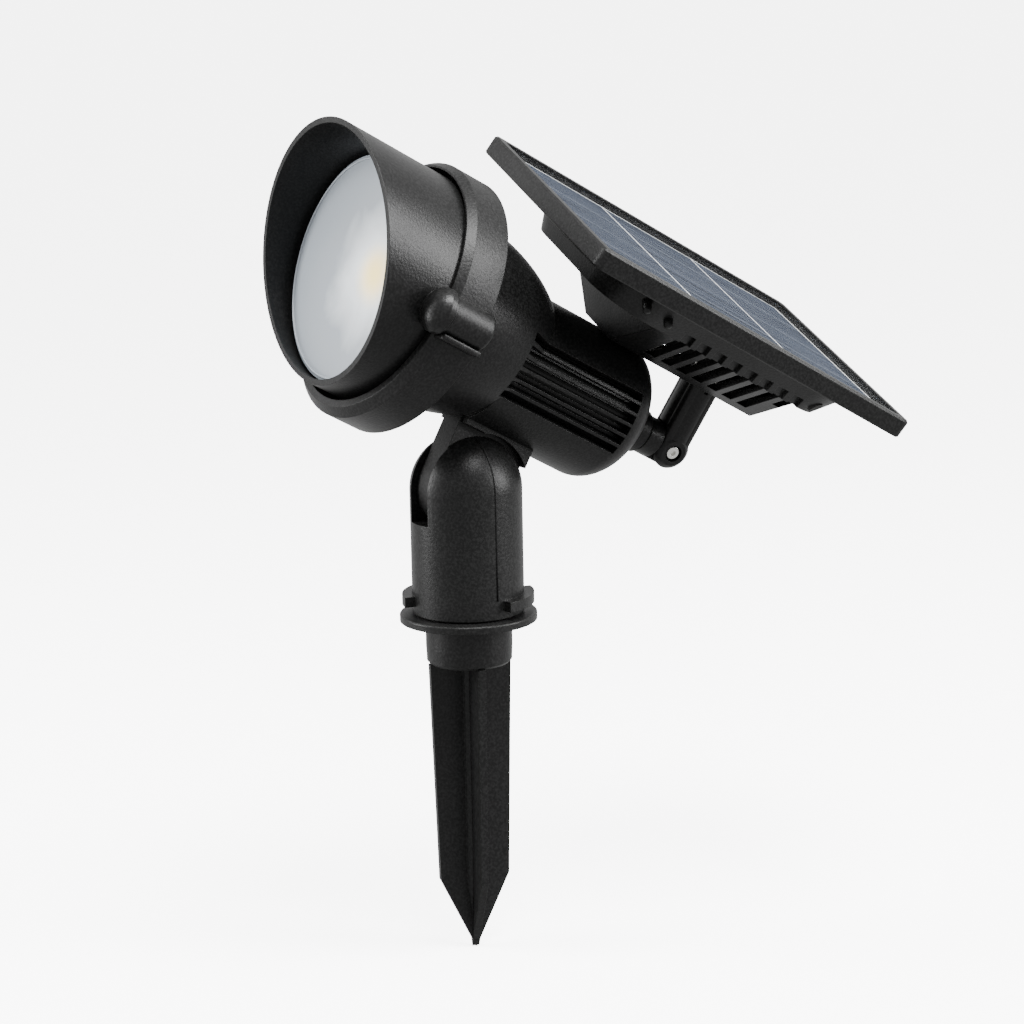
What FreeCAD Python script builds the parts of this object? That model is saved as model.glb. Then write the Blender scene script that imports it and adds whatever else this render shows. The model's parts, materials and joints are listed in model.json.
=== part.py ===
import FreeCAD, Part
import math
import os

V = FreeCAD.Vector

# Solar garden light on a ground spike. Row frame: origin at the centre of the spike flange's
# underside, +Z up, the lamp looks towards -Y, hinge pins lie along X. Millimetres.

# Row frame: spike and stem
FLANGE_R = 30.7
FLANGE_T = 3.4
COLLAR_R = 19.4
COLLAR_STRAIGHT = 12.0
COLLAR_H = 19.5
BLADE_TOP_HALF = 18.8
BLADE_LOW_HALF = 16.2
BLADE_T = 3.4
BLADE_LOW_Z = -120.5
SPIKE_TIP_Z = -154.5
BLADE_TURN = -14.0
PLUG_R = 12.0
PLUG_TOP = 24.0

STEM_R = 25.0
STEM_Z0 = 4.2
PIVOT_Z = 59.3
STEM_WALL = 2.8
SLOT_HALF = 7.0
SLOT_DEPTH = 13.5
TAB_R = 29.5
TAB_Z0 = 7.7
TAB_T = 4.5
TAB_START = 8.0
TAB_SPAN = 70.0
BOLT_R = 3.0

# Rest pose
AIM = 29.0
ROLL = 20.5

# Head frame: origin at the tilt pivot, x right, y up from the lamp axis, z forward along it
LAMP_Y = 63.4
BARREL_Y = 58.3
BARREL_R = 33.0
BARREL_BACK = -45.0
DOME_DEPTH = 20.0
SHELL_T = 2.4
VENT_BACK = -46.5
VENT_FRONT = 21.0
BOWL_R = 43.8
BOWL_Z = 59.5
BOWL_REACH = 71.0
BEZEL_R = 58.0
SKIRT_R = 61.0
BEZEL_FRONT = 80.0
BEZEL_BEVEL = 3.5
BEZEL_BORE = 54.4
SKIRT_DROP = 16.0
BOSS_X = 59.3
BOSS_Y = LAMP_Y - 7.7
BOSS_R = 8.5
KNOB_R = 10.0
HOOD_TALL = 52.2
HOOD_WIDE = 53.3
HOOD_FLARE = 0.043
HOOD_T = 2.4
HOOD_BACK = 63.2
RIM_Z = 112.0
RIM_SLOPE = 0.41
LENS_R = 49.5
LENS_BACK = 93.0
LENS_RAKE = 11.8
LENS_T = 3.0
LENS_RISE = 3.6
SINK_Z = BOWL_Z + 8.9
SINK_T = 2.98
SINK_FIN = 30.9
LUG_R = 21.0
LUG_HALF = 6.6
SADDLE_CLEAR = 25.7
SADDLE_TOP = 27.6
SADDLE_HALF = 10.5
SADDLE_BACK = -18.0
SADDLE_FRONT = 20.0

# Post and hinge pin, still in the head frame
PIN_Z = -91.5
POST_R = 9.1
SHANK_R = 6.0
FIT = 0.05
BODY_GAP = 0.3
TONGUE_HALF = 4.0
EAR_R = 8.7
PIN_R = 2.0

# Panel frame: origin at the hinge pin, x across, y up from the post axis, z forward
PANEL_L = 187.0
PANEL_W = 131.0
PANEL_MID = 37.0
PANEL_TOP = 75.5
FRAME_T = 9.0
RIM_W = 4.6
GLASS_T = 2.4
CELL_T = 0.6
RIBBON_W = 0.9
TRAY_TOP = PANEL_TOP - FRAME_T - 0.8
TRAY_LOW = 53.4
TRAY_HALF = 57.0
TRAY_BACK = -37.0
TRAY_FRONT = 106.0
TRAY_CORNER = 28.0
TRAY_DRAFT = 9.5
TRAY_WALL = 4.5
HOPPER_LOW = 33.5
HOPPER_HALF = 14.0
HOPPER_BACK = -25.0
HOPPER_FRONT = 69.0
HOPPER_SPREAD = 5.0
HOPPER_WALL = 2.4
WEB_HALF = 1.2
LOUVRE_PITCH = 9.6
LOUVRE_W = 6.2
LOUVRE_LEAN = 10.0
LOUVRE_LOW = 37.2
LOUVRE_TOP = 58.8
LOUVRE_FIRST = 53.9
LOUVRE_COUNT = 7
ARM_LEAN = 8.0
BUTTON_SPOT = (50.3, 57.4, -19.4)


def box(x0, x1, y0, y1, z0, z1):
    return Part.makeBox(x1 - x0, y1 - y0, z1 - z0, V(x0, y0, z0))


def rod(r, z0, z1, x=0.0, y=0.0):
    return Part.makeCylinder(r, z1 - z0, V(x, y, z0))


def tube(rOut, rIn, z0, z1, x=0.0, y=0.0):
    return rod(rOut, z0, z1, x, y).cut(rod(rIn, z0 - 1, z1 + 1, x, y))


def crossRod(r, x0, x1, y=0.0, z=0.0):
    """Round bar along X."""
    return Part.makeCylinder(r, x1 - x0, V(x0, y, z), V(1, 0, 0))


def moved(shape, x=0.0, y=0.0, z=0.0):
    copy = shape.copy()
    copy.translate(V(x, y, z))
    return copy


def turned(shape, axis, degrees, centre=V(0, 0, 0)):
    copy = shape.copy()
    copy.rotate(centre, axis, degrees)
    return copy


def fused(shapes):
    return shapes[0].multiFuse(shapes[1:]).removeSplitter()


def spun(points, y=0.0):
    """Solid of revolution about a line along Z at height y, from (radius, z) points."""
    wire = Part.makePolygon([V(r, y, z) for r, z in points + [points[0]]])
    return Part.Face(wire).revolve(V(0, y, 0), V(0, 0, 1), 360)


def onCircle(r, degrees):
    return r * math.cos(math.radians(degrees)), r * math.sin(math.radians(degrees))


def crownCap(radius, rise, z, x, y):
    """Spherical cap of the given rise standing on a disc of the given radius at z."""
    ballR = (radius ** 2 + rise ** 2) / (2 * rise)
    ball = Part.makeSphere(ballR, V(x, y, z + rise - ballR))
    return ball.common(rod(radius, z - 0.01, z + rise + 1, x, y))


def hexBar(acrossFlats, length):
    r = acrossFlats / math.sqrt(3)
    corners = [V(*onCircle(r, a), 0) for a in range(0, 361, 60)]
    return Part.Face(Part.makePolygon(corners)).extrude(V(0, 0, length))


def capScrew(shankR, length, headR, headH, socket):
    """Socket screw with the underside of its head at z = 0 and its shank going down."""
    head = rod(headR, 0, headH)
    head = head.makeFillet(headR * 0.16, [head.Edges[0]]) if headR > 3 else head
    head = head.cut(moved(hexBar(socket, headH), z=headH * 0.45))
    return fused([head, rod(shankR, -length, 0.01)])


def roundedOutline(half, z0, z1, r, y):
    """Closed wire in the x-z plane at height y with four rounded corners."""
    edges = []
    corners = [(half - r, z1 - r, 0), (-half + r, z1 - r, 90), (-half + r, z0 + r, 180),
               (half - r, z0 + r, 270)]

    def onArc(cx, cz, a):
        dx, dz = onCircle(r, a)
        return V(cx + dx, y, cz + dz)

    for i, (cx, cz, a) in enumerate(corners):
        edges.append(Part.Arc(onArc(cx, cz, a), onArc(cx, cz, a + 45), onArc(cx, cz, a + 90)).toShape())
        nx, nz, na = corners[(i + 1) % 4]
        edges.append(Part.LineSegment(onArc(cx, cz, a + 90), onArc(nx, nz, na)).toShape())
    return Part.Wire(edges)


def slab(half, z0, z1, r, y0, y1):
    return Part.Face(roundedOutline(half, z0, z1, r, y0)).extrude(V(0, y1 - y0, 0))


def inHead(shape):
    """From the head frame to the row frame, at the rest aim."""
    return moved(turned(shape, V(1, 0, 0), 90 - AIM), z=PIVOT_Z)


def inPanel(shape):
    """From the panel frame to the row frame, at the rest roll and aim."""
    rolled = turned(shape, V(0, 0, 1), -ROLL)
    return inHead(moved(rolled, y=BARREL_Y, z=PIN_Z))


def save(shape, node):
    solids = shape.Solids
    for solid in solids:
        assert solid.isValid() and solid.Volume > 0, node
    result = solids[0] if len(solids) == 1 else Part.makeCompound(solids)
    result.exportStep("parts/" + node + ".step")


# ---- spike ----

def groundSpike():
    flange = rod(FLANGE_R, 0, FLANGE_T)
    flange = flange.makeFillet(0.8, flange.Edges[:1])
    collar = rod(COLLAR_R, -COLLAR_STRAIGHT, 0.01)
    skirt = spun([(0, -COLLAR_STRAIGHT), (COLLAR_R, -COLLAR_STRAIGHT), (COLLAR_R - 0.3, -COLLAR_H + 1.2),
                  (COLLAR_R - 1.4, -COLLAR_H), (0, -COLLAR_H)])
    plug = rod(PLUG_R, FLANGE_T - 0.01, PLUG_TOP)
    groove = tube(PLUG_R + 1, PLUG_R - 1.75, 15.9, 17.9)
    body = [flange, collar, skirt, plug.cut(groove)]
    for i in range(4):
        body.append(spikeBlade(i * 90 + BLADE_TURN))
    body.append(rod(4.2, BLADE_LOW_Z, -COLLAR_H + 0.01))
    body.append(Part.makeCone(0.4, 4.2, BLADE_LOW_Z - SPIKE_TIP_Z, V(0, 0, SPIKE_TIP_Z)))
    return fused(body)


def spikeBlade(angle):
    """One tapered fin, pointed at the tip."""
    outline = [(0, -COLLAR_H + 0.01), (BLADE_TOP_HALF, -COLLAR_H + 0.01), (BLADE_LOW_HALF, BLADE_LOW_Z),
               (0, SPIKE_TIP_Z)]
    web = Part.Face(Part.makePolygon([V(r, -BLADE_T / 2, z) for r, z in outline + outline[:1]]))
    web = web.extrude(V(0, BLADE_T, 0))
    return turned(web, V(0, 0, 1), angle)


def spikeSeal():
    return Part.makeTorus(PLUG_R - 0.87, 0.85, V(0, 0, 16.9))


# ---- stem ----

def stemTab(start):
    """Grip tab: an arc of a flat ring."""
    ring = tube(TAB_R, STEM_R - 1, TAB_Z0, TAB_Z0 + TAB_T)
    rim = [V(*onCircle(2 * TAB_R, start + TAB_SPAN * share), 0) for share in (0, 0.5, 1)]
    wedge = Part.Face(Part.makePolygon([V(0, 0, 0)] + rim + [V(0, 0, 0)]))
    return ring.common(wedge.extrude(V(0, 0, 2 * TAB_Z0 + TAB_T)))


def stem():
    outside = fused([rod(STEM_R, STEM_Z0, PIVOT_Z), Part.makeSphere(STEM_R, V(0, 0, PIVOT_Z))
                     .common(box(-40, 40, -40, 40, PIVOT_Z - 0.01, PIVOT_Z + 40))])
    cavity = rod(STEM_R - STEM_WALL, STEM_Z0 - 1, 36.0)
    sleeve = tube(15.2, PLUG_R + FIT, STEM_Z0, 36.5)
    ribs = [turned(box(14.6, STEM_R - STEM_WALL + 0.3, -1.1, 1.1, STEM_Z0 + 1, 36.5), V(0, 0, 1), a)
            for a in range(0, 360, 60)]
    shell = outside.cut(cavity)
    tabs = [stemTab(TAB_START), stemTab(TAB_START + 180)]
    body = fused([shell, sleeve] + ribs + tabs)
    body = body.cut(box(-SLOT_HALF, SLOT_HALF, -40, 40, PIVOT_Z - SLOT_DEPTH, PIVOT_Z + 40))
    body = body.cut(crossRod(LUG_R + 0.4, -SLOT_HALF, SLOT_HALF, z=PIVOT_Z))
    body = body.cut(crossRod(BOLT_R + FIT, -30, 15.2, z=PIVOT_Z))
    body = body.cut(crossRod(5.6, -30, -19.0, z=PIVOT_Z))
    nutRoom = turned(hexBar(10.3, 5.6), V(0, 1, 0), 90)
    return body.cut(moved(nutRoom, x=SLOT_HALF - 0.1, z=PIVOT_Z))


def pivotBolt():
    screw = capScrew(BOLT_R, 33.5, 5.2, 3.6, 4.0)
    return moved(turned(screw, V(0, 1, 0), -90), x=-19.02, z=PIVOT_Z)


def pivotNut():
    nut = turned(hexBar(10.0, 5.0), V(0, 1, 0), 90)
    return moved(nut, x=7.3, z=PIVOT_Z).cut(crossRod(BOLT_R + 0.02, 0, 20, z=PIVOT_Z))


# ---- head: lug and shells ----

def tiltLug():
    """Round lug in the stem's slot, its neck, and the saddle under the housing."""
    disc = crossRod(LUG_R, -LUG_HALF, LUG_HALF)
    neck = box(-LUG_HALF, LUG_HALF, 0, SADDLE_TOP, -17.5, LUG_R)
    saddle = box(-SADDLE_HALF, SADDLE_HALF, 12, SADDLE_TOP, SADDLE_BACK, SADDLE_FRONT)
    saddle = saddle.cut(crossRod(SADDLE_CLEAR, -20, 20))
    saddle = saddle.cut(box(-20, 20, 0, SADDLE_CLEAR - 1.2, 2, 40))
    body = fused([disc, neck, saddle])
    for side in (-1, 1):
        recess = crossRod(8.4, *sorted((side * (LUG_HALF - 1.0), side * (LUG_HALF + 1))))
        body = body.cut(recess)
    body = body.cut(crossRod(BOLT_R + FIT, -20, 20))
    for z in (-11.5, 11.5):
        body = body.cut(Part.makeCylinder(1.6, 14, V(0, SADDLE_TOP - 12, z), V(0, 1, 0)))
    return body


def pivotWashers():
    ring = tube(8.0, BOLT_R + 0.1, 0, 1.1)
    left = moved(turned(ring, V(0, 1, 0), 90), x=LUG_HALF - 0.95)
    right = moved(turned(ring, V(0, 1, 0), -90), x=-LUG_HALF + 0.95)
    return Part.makeCompound([left, right])


def lugScrews():
    screw = turned(capScrew(1.5, 15.5, 2.8, 2.4, 2.5), V(1, 0, 0), -90)
    return Part.makeCompound([moved(screw, y=SADDLE_TOP + 5.1, z=z) for z in (-11.5, 11.5)])


def ellipseSolid(radius, reach, z, y):
    """Half an ellipsoid of revolution about a line along Z, running back from its widest circle at z."""
    tip = V(0, y, z - reach)
    side = V(radius, y, z)
    centre = V(0, y, z)
    longEnd, shortEnd = (tip, side) if reach > radius else (side, tip)
    curve = Part.Arc(Part.Ellipse(longEnd, shortEnd, centre), 0, math.pi / 2).toShape()
    edges = [Part.LineSegment(centre, side).toShape(), curve, Part.LineSegment(tip, centre).toShape()]
    wire = Part.Wire(Part.__sortEdges__(edges))
    return Part.Face(wire).revolve(V(0, y, 0), V(0, 0, 1), 360)


def ventSlots():
    """Six slots each side, turned about the barrel axis, running back from the bowl."""
    pitch = 9.35
    cuts = []
    for i in range(6):
        angle = 16.0 - pitch * i
        for side in (0, 1):
            slot = box(BARREL_R - 5.5, BARREL_R + 14, -1.95, 1.95, VENT_BACK, VENT_FRONT)
            slot = turned(slot, V(0, 0, 1), angle if side == 0 else 180 - angle)
            cuts.append(moved(slot, y=BARREL_Y))
    return cuts


def rearHousing():
    """Bowl and finned barrel in one moulding, with the pad that carries the lug."""
    bowl = ellipseSolid(BOWL_R, BOWL_REACH, BOWL_Z, LAMP_Y)
    bowl = bowl.common(box(-90, 90, -90, 190, 0, 90))
    barrel = rod(BARREL_R, BARREL_BACK, 20, y=BARREL_Y)
    dome = ellipseSolid(BARREL_R, DOME_DEPTH, BARREL_BACK, BARREL_Y)
    pad = box(-SADDLE_HALF, SADDLE_HALF, SADDLE_TOP + 0.02, SADDLE_TOP + 9, SADDLE_BACK, SADDLE_FRONT)
    outside = fused([bowl, barrel, dome, pad])
    t = SHELL_T
    bowlIn = ellipseSolid(BOWL_R - t, BOWL_REACH - t, BOWL_Z + 0.01, LAMP_Y)
    bowlIn = bowlIn.common(box(-90, 90, -90, 190, 2, 90))
    barrelIn = rod(BARREL_R - t, BARREL_BACK, 17, y=BARREL_Y)
    domeIn = ellipseSolid(BARREL_R - t, DOME_DEPTH - t, BARREL_BACK, BARREL_Y)
    floor = box(-SADDLE_HALF - 3, SADDLE_HALF + 3, 0, SADDLE_TOP + 5, SADDLE_BACK - 3, SADDLE_FRONT + 3)
    inside = fused([bowlIn, barrelIn, domeIn]).cut(floor)
    seat = box(-SADDLE_HALF - 0.05, SADDLE_HALF + 0.05, 0, SADDLE_TOP + 0.02, SADDLE_BACK - 0.05,
               LUG_R + 0.05)
    shell = outside.cut(inside).cut(seat)
    lip = tube(BOWL_R - 1, 36.0, BOWL_Z - 3.2, BOWL_Z, y=LAMP_Y)
    rearBoss = tube(10.4, 7.6, -73.2, -62.0, y=BARREL_Y)
    shell = fused([shell, lip, rearBoss])
    shell = shell.cut(rod(7.6, -90, -60, y=BARREL_Y)).cut(rod(9.8, -61.95, -55, y=BARREL_Y))
    shell = shell.cut(rod(POST_R + 0.6, -90, -74.6, y=BARREL_Y))
    for cut in ventSlots():
        shell = shell.cut(cut)
    for z in (-11.5, 11.5):
        shell = shell.cut(Part.makeCylinder(1.6, 12, V(0, SADDLE_TOP - 1, z), V(0, 1, 0)))
    for x, y in bezelScrewSpots():
        shell = shell.cut(rod(1.5, BOWL_Z - 8, BOWL_Z + 1, x, y))
    return shell


def bezelScrewSpots():
    return [(x, LAMP_Y + y) for x, y in (onCircle(39.0, a) for a in range(45, 360, 90))]


def postBush():
    """Plain bearing pressed in the housing's rear boss."""
    return fused([tube(7.55, SHANK_R + FIT, -74.0, -61.0, y=BARREL_Y),
                  tube(9.6, SHANK_R + FIT, -61.9, -60.6, y=BARREL_Y)])


def bezelRing():
    """Front ring: floor, outer wall with a bevelled lip, lower skirt, inner seat and side bosses."""
    b = BEZEL_BEVEL
    z0, z1 = BOWL_Z + 0.02, BEZEL_FRONT
    wall = spun([(BEZEL_BORE, z0), (BEZEL_R, z0), (BEZEL_R, z1 - b), (BEZEL_R - b + 0.8, z1),
                 (BEZEL_BORE, z1)], LAMP_Y)
    skirt = spun([(BEZEL_BORE, z0), (SKIRT_R, z0), (SKIRT_R, z1 - b), (SKIRT_R - b, z1 + 0.3),
                  (BEZEL_BORE, z1 + 0.3)], LAMP_Y)
    skirt = skirt.common(box(-80, 80, -20, LAMP_Y - SKIRT_DROP, 0, 120))
    floor = tube(BEZEL_BORE + 0.5, 36.0, z0, z0 + 3.4, y=LAMP_Y)
    above = raked(box(-70, 70, LAMP_Y - 70, LAMP_Y + 70, LENS_BACK - 1.4, LENS_BACK + 40))
    seat = tube(47.2, 44.6, z0, LENS_BACK + 10, y=LAMP_Y).cut(above)
    step = tube(45.0, 42.6, z0 + 3, SINK_Z - 0.02, y=LAMP_Y)
    bosses = [sideBoss(side) for side in (-1, 1)]
    keep = rod(BEZEL_BORE, 0, 120, y=LAMP_Y)
    body = fused([wall, skirt, floor, seat, step] + [boss.cut(keep) for boss in bosses])
    for side in (-1, 1):
        body = body.cut(rod(1.7, 0, 120, side * BOSS_X, BOSS_Y))
        body = body.cut(rod(3.2, 0, z0 + 3.0, side * BOSS_X, BOSS_Y))
    for x, y in bezelScrewSpots():
        body = body.cut(rod(1.55, 0, 120, x, y))
    return body


def sideBoss(side):
    boss = rod(BOSS_R, BOWL_Z + 0.02, BEZEL_FRONT + 0.3, side * BOSS_X, BOSS_Y)
    rear = [e for e in boss.Edges if abs(e.BoundBox.ZMax - BOWL_Z - 0.02) < 0.01]
    return boss.makeFillet(2.2, rear[:1])


def bezelScrews():
    screw = capScrew(1.45, 9.0, 2.6, 2.2, 2.5)
    return Part.makeCompound([moved(screw, x, y, BOWL_Z + 3.45) for x, y in bezelScrewSpots()])


def hoodEar(side):
    """Round knob that sits on the bezel's side boss: a short collar and a domed nose."""
    x = side * BOSS_X
    z0 = BEZEL_FRONT + 0.5
    collar = rod(KNOB_R - 0.9, z0, z0 + 1.4, x, BOSS_Y)
    drum = rod(KNOB_R, z0 + 1.4, z0 + 4.2, x, BOSS_Y)
    nose = crownCap(KNOB_R, 6.0, z0 + 4.2, x, BOSS_Y)
    ear = fused([collar, drum, nose]).cut(hoodForm(HOOD_T / 2))
    return ear.cut(rod(1.3, 0, z0 + 7.5, x, BOSS_Y))


def hoodForm(inset):
    """Solid inside the hood's wall at the given depth, widening sideways towards the front."""
    wires = []
    for z in (HOOD_BACK, 150.0):
        wide = HOOD_WIDE + HOOD_FLARE * (z - HOOD_BACK)
        wires.append(Part.Wire(Part.Ellipse(V(0, LAMP_Y, z), wide - inset, HOOD_TALL - inset).toShape()))
    return Part.makeLoft(wires, True, True)


def hood():
    """Glare hood: a flared tube cut so that its rim stands upright at the rest aim."""
    pipe = hoodForm(0).cut(hoodForm(HOOD_T))
    rise = 90.0
    low, high = RIM_Z - RIM_SLOPE * rise, RIM_Z + RIM_SLOPE * rise
    outline = [V(-90, LAMP_Y - rise, low), V(-90, LAMP_Y + rise, high), V(-90, LAMP_Y + rise, 220),
               V(-90, LAMP_Y - rise, 220)]
    beyond = Part.Face(Part.makePolygon(outline + outline[:1])).extrude(V(180, 0, 0))
    return fused([pipe.cut(beyond)] + [hoodEar(side) for side in (-1, 1)])


def hoodScrews():
    screw = turned(capScrew(1.25, 24.0, 2.8, 2.2, 2.5), V(1, 0, 0), 180)
    return Part.makeCompound([moved(screw, side * BOSS_X, BOSS_Y, BOWL_Z + 2.95) for side in (-1, 1)])


# ---- head: optics and electrics ----

def raked(shape):
    """Leans a shape at the lens so that its top comes forward."""
    return turned(shape, V(1, 0, 0), LENS_RAKE, V(0, LAMP_Y, LENS_BACK))


def lens():
    """Frosted disc with a shallow crown, leaning in the hood."""
    edgeZ = LENS_BACK + LENS_T
    crown = crownCap(LENS_R, LENS_RISE, edgeZ, 0.0, LAMP_Y)
    body = fused([rod(LENS_R, LENS_BACK, edgeZ, y=LAMP_Y), crown])
    return raked(body.cut(crownCap(LENS_R - 7, LENS_RISE, LENS_BACK, 0.0, LAMP_Y)))


def lensGasket():
    ring = raked(rod(LENS_R - 0.2, LENS_BACK - 1.38, LENS_BACK - 0.02, y=LAMP_Y))
    return ring.cut(rod(44.7, 0, 120, y=LAMP_Y))


def reflector():
    """Shallow white dish around the emitter."""
    z = BOWL_Z + 13.6
    section = [(9.6, z), (14.0, z), (42.6, z + 6.0), (44.5, z + 6.0), (44.5, z + 7.2), (42.2, z + 7.2),
               (13.8, z + 1.2), (9.6, z + 1.2)]
    return spun(section, LAMP_Y)


def ledBoard():
    return rod(30.0, BOWL_Z + 11.9, BOWL_Z + 13.5, y=LAMP_Y)


def ledEmitter():
    base = rod(9.0, BOWL_Z + 13.52, BOWL_Z + 14.2, y=LAMP_Y)
    dome = crownCap(7.4, 1.2, BOWL_Z + 14.2, 0.0, LAMP_Y)
    return fused([base, dome])


def heatSink():
    """Aluminium plate on the bezel's step, with straight fins into the bowl."""
    plate = rod(44.4, SINK_Z, SINK_Z + SINK_T, y=LAMP_Y)
    low, high = SINK_Z - SINK_FIN, SINK_Z + 0.3
    envelope = rod(33.5, low, high, y=LAMP_Y)
    fins = [box(x - 0.9, x + 0.9, LAMP_Y - 40, LAMP_Y + 40, low, high) for x in range(-28, 29, 7)]
    return fused([plate] + [fin.common(envelope) for fin in fins])


def batterySleeve():
    """Sealed liner behind the vents, with long ribs and a closed rear end."""
    body = tube(26.0, 24.0, -50.0, 28.0, y=BARREL_Y)
    end = tube(26.0, 9.8, -52.0, -49.9, y=BARREL_Y)
    ribs = []
    for i in range(12):
        rib = box(25.8, 27.6, -0.7, 0.7, -46.0, 26.0)
        for side in (0, 180):
            ribs.append(moved(turned(rib, V(0, 0, 1), side + 27.0 - 5.0 * i), y=BARREL_Y))
    body = fused([body, end] + ribs).cut(rod(9.8, -60, -49, y=BARREL_Y))
    return body.cut(box(-14, 14, 0, SADDLE_TOP + 7.8, SADDLE_BACK - 4, SADDLE_FRONT + 4))


def batteryCell():
    return fused([rod(9.2, -48.0, 16.0, x=-10.0, y=BARREL_Y), rod(3.0, 16.0, 17.2, x=-10.0, y=BARREL_Y)])


def controlBoard():
    board = box(5.0, 6.6, BARREL_Y - 16, BARREL_Y + 16, -40.0, 12.0)
    spots = ((BARREL_Y - 10, -30), (BARREL_Y + 4, -12), (BARREL_Y - 6, 0))
    chips = [box(6.6, 8.4, y, y + 5, z, z + 7) for y, z in spots]
    return fused([board] + chips)


# ---- post ----

def swivelPost():
    """Post that turns in the rear bush, with a flat tongue for the hinge pin."""
    shank = rod(SHANK_R, -74.7, -56.4)
    for depth, low, high in ((0.9, -58.9, -57.7), (1.1, -70.2, -68.0)):
        shank = shank.cut(tube(SHANK_R + 1, SHANK_R - depth, low, high))
    barrel = rod(POST_R, PIN_Z + EAR_R + BODY_GAP, -74.9 + 0.01)
    barrel = fused([barrel, rod(SHANK_R, -75.0, -74.6)])
    tongue = box(-TONGUE_HALF, TONGUE_HALF, -EAR_R, EAR_R, PIN_Z, PIN_Z + EAR_R + 1)
    tongue = tongue.common(rod(POST_R, PIN_Z - 20, -60))
    eye = crossRod(EAR_R, -TONGUE_HALF, TONGUE_HALF, z=PIN_Z)
    body = fused([shank, barrel, tongue, eye]).cut(crossRod(PIN_R + FIT, -20, 20, z=PIN_Z))
    return moved(body.cut(rod(2.4, -90, -50)), y=BARREL_Y)


def postSeal():
    return Part.makeTorus(SHANK_R - 0.55, 0.5, V(0, BARREL_Y, -69.1))


def postClip():
    ring = tube(8.6, SHANK_R - 0.85, -58.85, -57.75)
    ring = ring.cut(box(-2.2, 2.2, 0, 12, -60, -56))
    return moved(ring, y=BARREL_Y)


# ---- panel ----

def panelArm():
    """Round arm: forked round the tongue below, with a foot inside the bracket above."""
    bar = Part.makeCylinder(EAR_R, HOPPER_LOW + 8, V(0, 0, 0), V(0, 1, 0))
    edge = crossRod(EAR_R, -EAR_R, EAR_R)
    ball = Part.makeSphere(EAR_R * 1.22)
    lower = edge.common(ball)
    squared = box(-EAR_R + 0.9, EAR_R - 0.9, 0, HOPPER_LOW + 8, -EAR_R + 0.9, EAR_R - 0.9)
    squared = squared.makeFillet(3.4, [e for e in squared.Edges if abs(e.BoundBox.YLength) > 20])
    body = fused([bar, squared, lower])
    body = body.cut(box(-TONGUE_HALF - BODY_GAP, TONGUE_HALF + BODY_GAP, -20, EAR_R + 2.0, -20, 20))
    body = body.cut(crossRod(PIN_R + 0.1, -20, 20))
    body = body.cut(crossRod(4.0, EAR_R - 2.6, 20))
    body = body.cut(crossRod(3.6, -20, -EAR_R + 2.4))
    leaned = turned(body, V(1, 0, 0), ARM_LEAN)
    leaned = leaned.cut(box(-30, 30, HOPPER_LOW - 0.02, 80, -30, 40))
    footZ = HOPPER_LOW * math.tan(math.radians(ARM_LEAN))
    neck = Part.makeCylinder(6.5, 3.2, V(0, HOPPER_LOW - 0.1, footZ), V(0, 1, 0))
    foot = box(-10.5, 10.5, HOPPER_LOW + 2.55, HOPPER_LOW + 5.0, footZ - 9, footZ + 9)
    body = fused([leaned, neck, foot]).cut(rod(POST_R + 0.5, EAR_R - 0.02, 30))
    for x in (-7.8, 7.8):
        body = body.cut(Part.makeCylinder(1.3, 12, V(x, HOPPER_LOW - 2, footZ), V(0, 1, 0)))
    return body


def hingeScrew():
    screw = capScrew(PIN_R, 13.2, 3.1, 2.0, 2.5)
    return moved(turned(screw, V(0, 1, 0), 90), x=EAR_R - 2.55)


def hingeNut():
    nut = turned(hexBar(6.0, 2.3), V(0, 1, 0), -90)
    return moved(nut, x=-EAR_R + 2.35).cut(crossRod(PIN_R + 0.02, -20, 20))


def hopper(lowHalf, topHalf, inset, low, top):
    """Solid with straight walls between a small lower outline and a large upper one."""
    chamfer = 6.0

    def outline(half, back, front, y, c):
        pts = [(half, front), (half, back + c), (half - c, back), (-half + c, back), (-half, back + c),
               (-half, front)]
        return Part.makePolygon([V(x, y, z) for x, z in pts + pts[:1]])

    lower = outline(lowHalf, HOPPER_BACK + inset, HOPPER_FRONT - inset, low, chamfer)
    front = HOPPER_FRONT + HOPPER_SPREAD - inset
    upper = outline(topHalf, HOPPER_BACK - 3.0 + inset, front, top, chamfer * 3.0)
    return Part.makeLoft([lower, upper], True, True)


def louvres():
    """Leaning slots through the bracket's side walls and into the tray's lower edge."""
    slots = []
    for i in range(LOUVRE_COUNT):
        slots.append(leaningSlot(LOUVRE_FIRST - LOUVRE_PITCH * i, LOUVRE_LOW))
    slots.append(leaningSlot(LOUVRE_FIRST - LOUVRE_PITCH * LOUVRE_COUNT, 47.5))
    return slots


def leaningSlot(front, low):
    rate = LOUVRE_LEAN / (LOUVRE_TOP - LOUVRE_LOW)
    shift = rate * (low - LOUVRE_LOW)
    points = [V(15.0, low, front + shift - LOUVRE_W), V(15.0, low, front + shift),
              V(15.0, LOUVRE_TOP, front + LOUVRE_LEAN), V(15.0, LOUVRE_TOP, front + LOUVRE_LEAN - LOUVRE_W)]
    slot = Part.Face(Part.makePolygon(points + points[:1])).extrude(V(50, 0, 0))
    return slot.fuse(slot.mirror(V(0, 0, 0), V(1, 0, 0)))


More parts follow.
